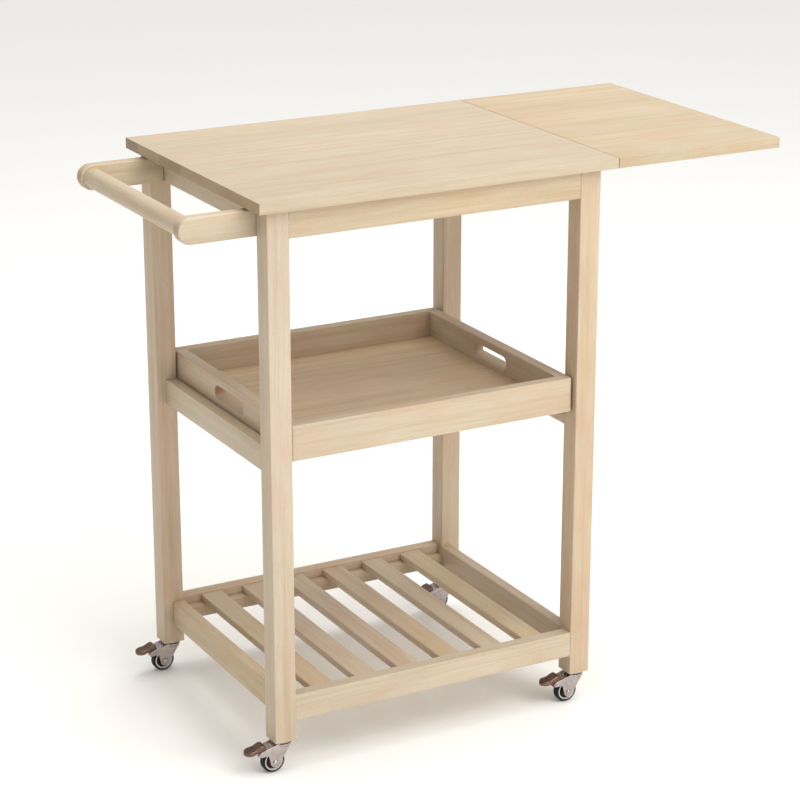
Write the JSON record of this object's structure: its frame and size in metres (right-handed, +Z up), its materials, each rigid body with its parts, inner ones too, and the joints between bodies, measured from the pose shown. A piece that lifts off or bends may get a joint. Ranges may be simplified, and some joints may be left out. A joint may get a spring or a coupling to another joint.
{
  "type": "kitchen island cart",
  "caption": "Wooden kitchen island cart with a drop leaf, towel bar, pull-out tray, slatted lower shelf and locking swivel casters.",
  "frame": {"origin": "on the floor, under the middle of the outline over the towel bar and the raised leaf", "axes": "+Z up; X from the towel bar (-) to the drop leaf (+); the front faces -Y"},
  "size_m": [0.962, 0.466, 0.863],
  "materials": {
    "pale_hardwood": "clear satin lacquer",
    "pale_hardwood_inner": "clear satin lacquer",
    "polished_steel": "zinc plated and polished",
    "bronzed_steel": "bronzed",
    "caster_tread": "moulded"
  },
  "bodies": {
    "frame": {"worktop": "pale_hardwood", "front_left_leg": "pale_hardwood", "front_right_leg": "pale_hardwood", "back_left_leg": "pale_hardwood", "back_right_leg": "pale_hardwood", "front_apron": "pale_hardwood", "back_apron": "pale_hardwood", "left_apron": "pale_hardwood", "right_apron": "pale_hardwood", "left_tray_rail": "pale_hardwood", "right_tray_rail": "pale_hardwood", "front_lower_rail": "pale_hardwood", "back_lower_rail": "pale_hardwood", "left_lower_rail": "pale_hardwood", "right_lower_rail": "pale_hardwood", "shelf_slat_1": "pale_hardwood", "shelf_slat_2": "pale_hardwood", "shelf_slat_3": "pale_hardwood", "shelf_slat_4": "pale_hardwood", "shelf_slat_5": "pale_hardwood", "shelf_slat_6": "pale_hardwood", "front_handle_arm": "pale_hardwood", "back_handle_arm": "pale_hardwood", "towel_bar": "pale_hardwood", "left_tray_cleat": "pale_hardwood_inner", "right_tray_cleat": "pale_hardwood_inner", "front_slat_cleat": "pale_hardwood_inner", "back_slat_cleat": "pale_hardwood_inner", "front_left_caster_plate": "polished_steel", "front_right_caster_plate": "polished_steel", "back_left_caster_plate": "polished_steel", "back_right_caster_plate": "polished_steel", "front_hinge_plate": "polished_steel", "back_hinge_plate": "polished_steel"},
    "leaf": {"drop_leaf": "pale_hardwood", "front_hinge_arm": "polished_steel", "back_hinge_arm": "polished_steel"},
    "tray": {"tray_front": "pale_hardwood", "tray_back": "pale_hardwood", "tray_left_end": "pale_hardwood", "tray_right_end": "pale_hardwood", "tray_floor": "pale_hardwood_inner"},
    "front_lever": {"front_lock_lever": "bronzed_steel"},
    "back_lever": {"back_lock_lever": "bronzed_steel"},
    "front_left_swivel": {"front_left_caster_fork": "polished_steel", "front_left_caster_axle": "polished_steel"},
    "front_left_wheel": {"front_left_caster_wheel": "caster_tread"},
    "front_left_brake": {"front_left_brake_pedal": "bronzed_steel"},
    "front_right_swivel": {"front_right_caster_fork": "polished_steel", "front_right_caster_axle": "polished_steel"},
    "front_right_wheel": {"front_right_caster_wheel": "caster_tread"},
    "front_right_brake": {"front_right_brake_pedal": "bronzed_steel"},
    "back_left_swivel": {"back_left_caster_fork": "polished_steel", "back_left_caster_axle": "polished_steel"},
    "back_left_wheel": {"back_left_caster_wheel": "caster_tread"},
    "back_left_brake": {"back_left_brake_pedal": "bronzed_steel"},
    "back_right_swivel": {"back_right_caster_fork": "polished_steel", "back_right_caster_axle": "polished_steel"},
    "back_right_wheel": {"back_right_caster_wheel": "caster_tread"},
    "back_right_brake": {"back_right_brake_pedal": "bronzed_steel"}
  },
  "joints": [
    {"name": "leaf_hinge", "type": "hinge", "parent": "frame", "child": "leaf", "pos_m": [0.1945, 0, 0.843], "axis": [0, 1, 0], "range_deg": [0, 90]},
    {"name": "front_lever_release", "type": "hinge", "parent": "leaf", "child": "front_lever", "pos_m": [0.2345, -0.129, 0.8375], "axis": [0, 1, 0], "range_deg": [0, 7], "stiffness_Nm_per_rad": 0.6, "springref_deg": -5.73},
    {"name": "back_lever_release", "type": "hinge", "parent": "leaf", "child": "back_lever", "pos_m": [0.2345, 0.129, 0.8375], "axis": [0, 1, 0], "range_deg": [0, 7], "stiffness_Nm_per_rad": 0.6, "springref_deg": -5.73},
    {"name": "tray_slide", "type": "slide", "parent": "frame", "child": "tray", "axis": [0, -1, 0], "range_m": [0, 0.4]},
    {"name": "front_left_swivel_turn", "type": "hinge", "parent": "frame", "child": "front_left_swivel", "pos_m": [-0.348, -0.202, 0.0467], "axis": [0, 0, 1], "continuous": true},
    {"name": "front_left_wheel_spin", "type": "hinge", "parent": "front_left_swivel", "child": "front_left_wheel", "pos_m": [-0.363, -0.202, 0.018], "axis": [0, 1, 0], "continuous": true},
    {"name": "front_left_brake_press", "type": "hinge", "parent": "front_left_swivel", "child": "front_left_brake", "pos_m": [-0.3845, -0.202, 0.0345], "axis": [0, -1, 0], "range_deg": [0, 15]},
    {"name": "front_right_swivel_turn", "type": "hinge", "parent": "frame", "child": "front_right_swivel", "pos_m": [0.156, -0.202, 0.0467], "axis": [0, 0, 1], "continuous": true},
    {"name": "front_right_wheel_spin", "type": "hinge", "parent": "front_right_swivel", "child": "front_right_wheel", "pos_m": [0.141, -0.202, 0.018], "axis": [0, 1, 0], "continuous": true},
    {"name": "front_right_brake_press", "type": "hinge", "parent": "front_right_swivel", "child": "front_right_brake", "pos_m": [0.1195, -0.202, 0.0345], "axis": [0, -1, 0], "range_deg": [0, 15]},
    {"name": "back_left_swivel_turn", "type": "hinge", "parent": "frame", "child": "back_left_swivel", "pos_m": [-0.348, 0.202, 0.0467], "axis": [0, 0, 1], "continuous": true},
    {"name": "back_left_wheel_spin", "type": "hinge", "parent": "back_left_swivel", "child": "back_left_wheel", "pos_m": [-0.363, 0.202, 0.018], "axis": [0, 1, 0], "continuous": true},
    {"name": "back_left_brake_press", "type": "hinge", "parent": "back_left_swivel", "child": "back_left_brake", "pos_m": [-0.3845, 0.202, 0.0345], "axis": [0, -1, 0], "range_deg": [0, 15]},
    {"name": "back_right_swivel_turn", "type": "hinge", "parent": "frame", "child": "back_right_swivel", "pos_m": [0.156, 0.202, 0.0467], "axis": [0, 0, 1], "continuous": true},
    {"name": "back_right_wheel_spin", "type": "hinge", "parent": "back_right_swivel", "child": "back_right_wheel", "pos_m": [0.141, 0.202, 0.018], "axis": [0, 1, 0], "continuous": true},
    {"name": "back_right_brake_press", "type": "hinge", "parent": "back_right_swivel", "child": "back_right_brake", "pos_m": [0.1195, 0.202, 0.0345], "axis": [0, -1, 0], "range_deg": [0, 15]}
  ]
}
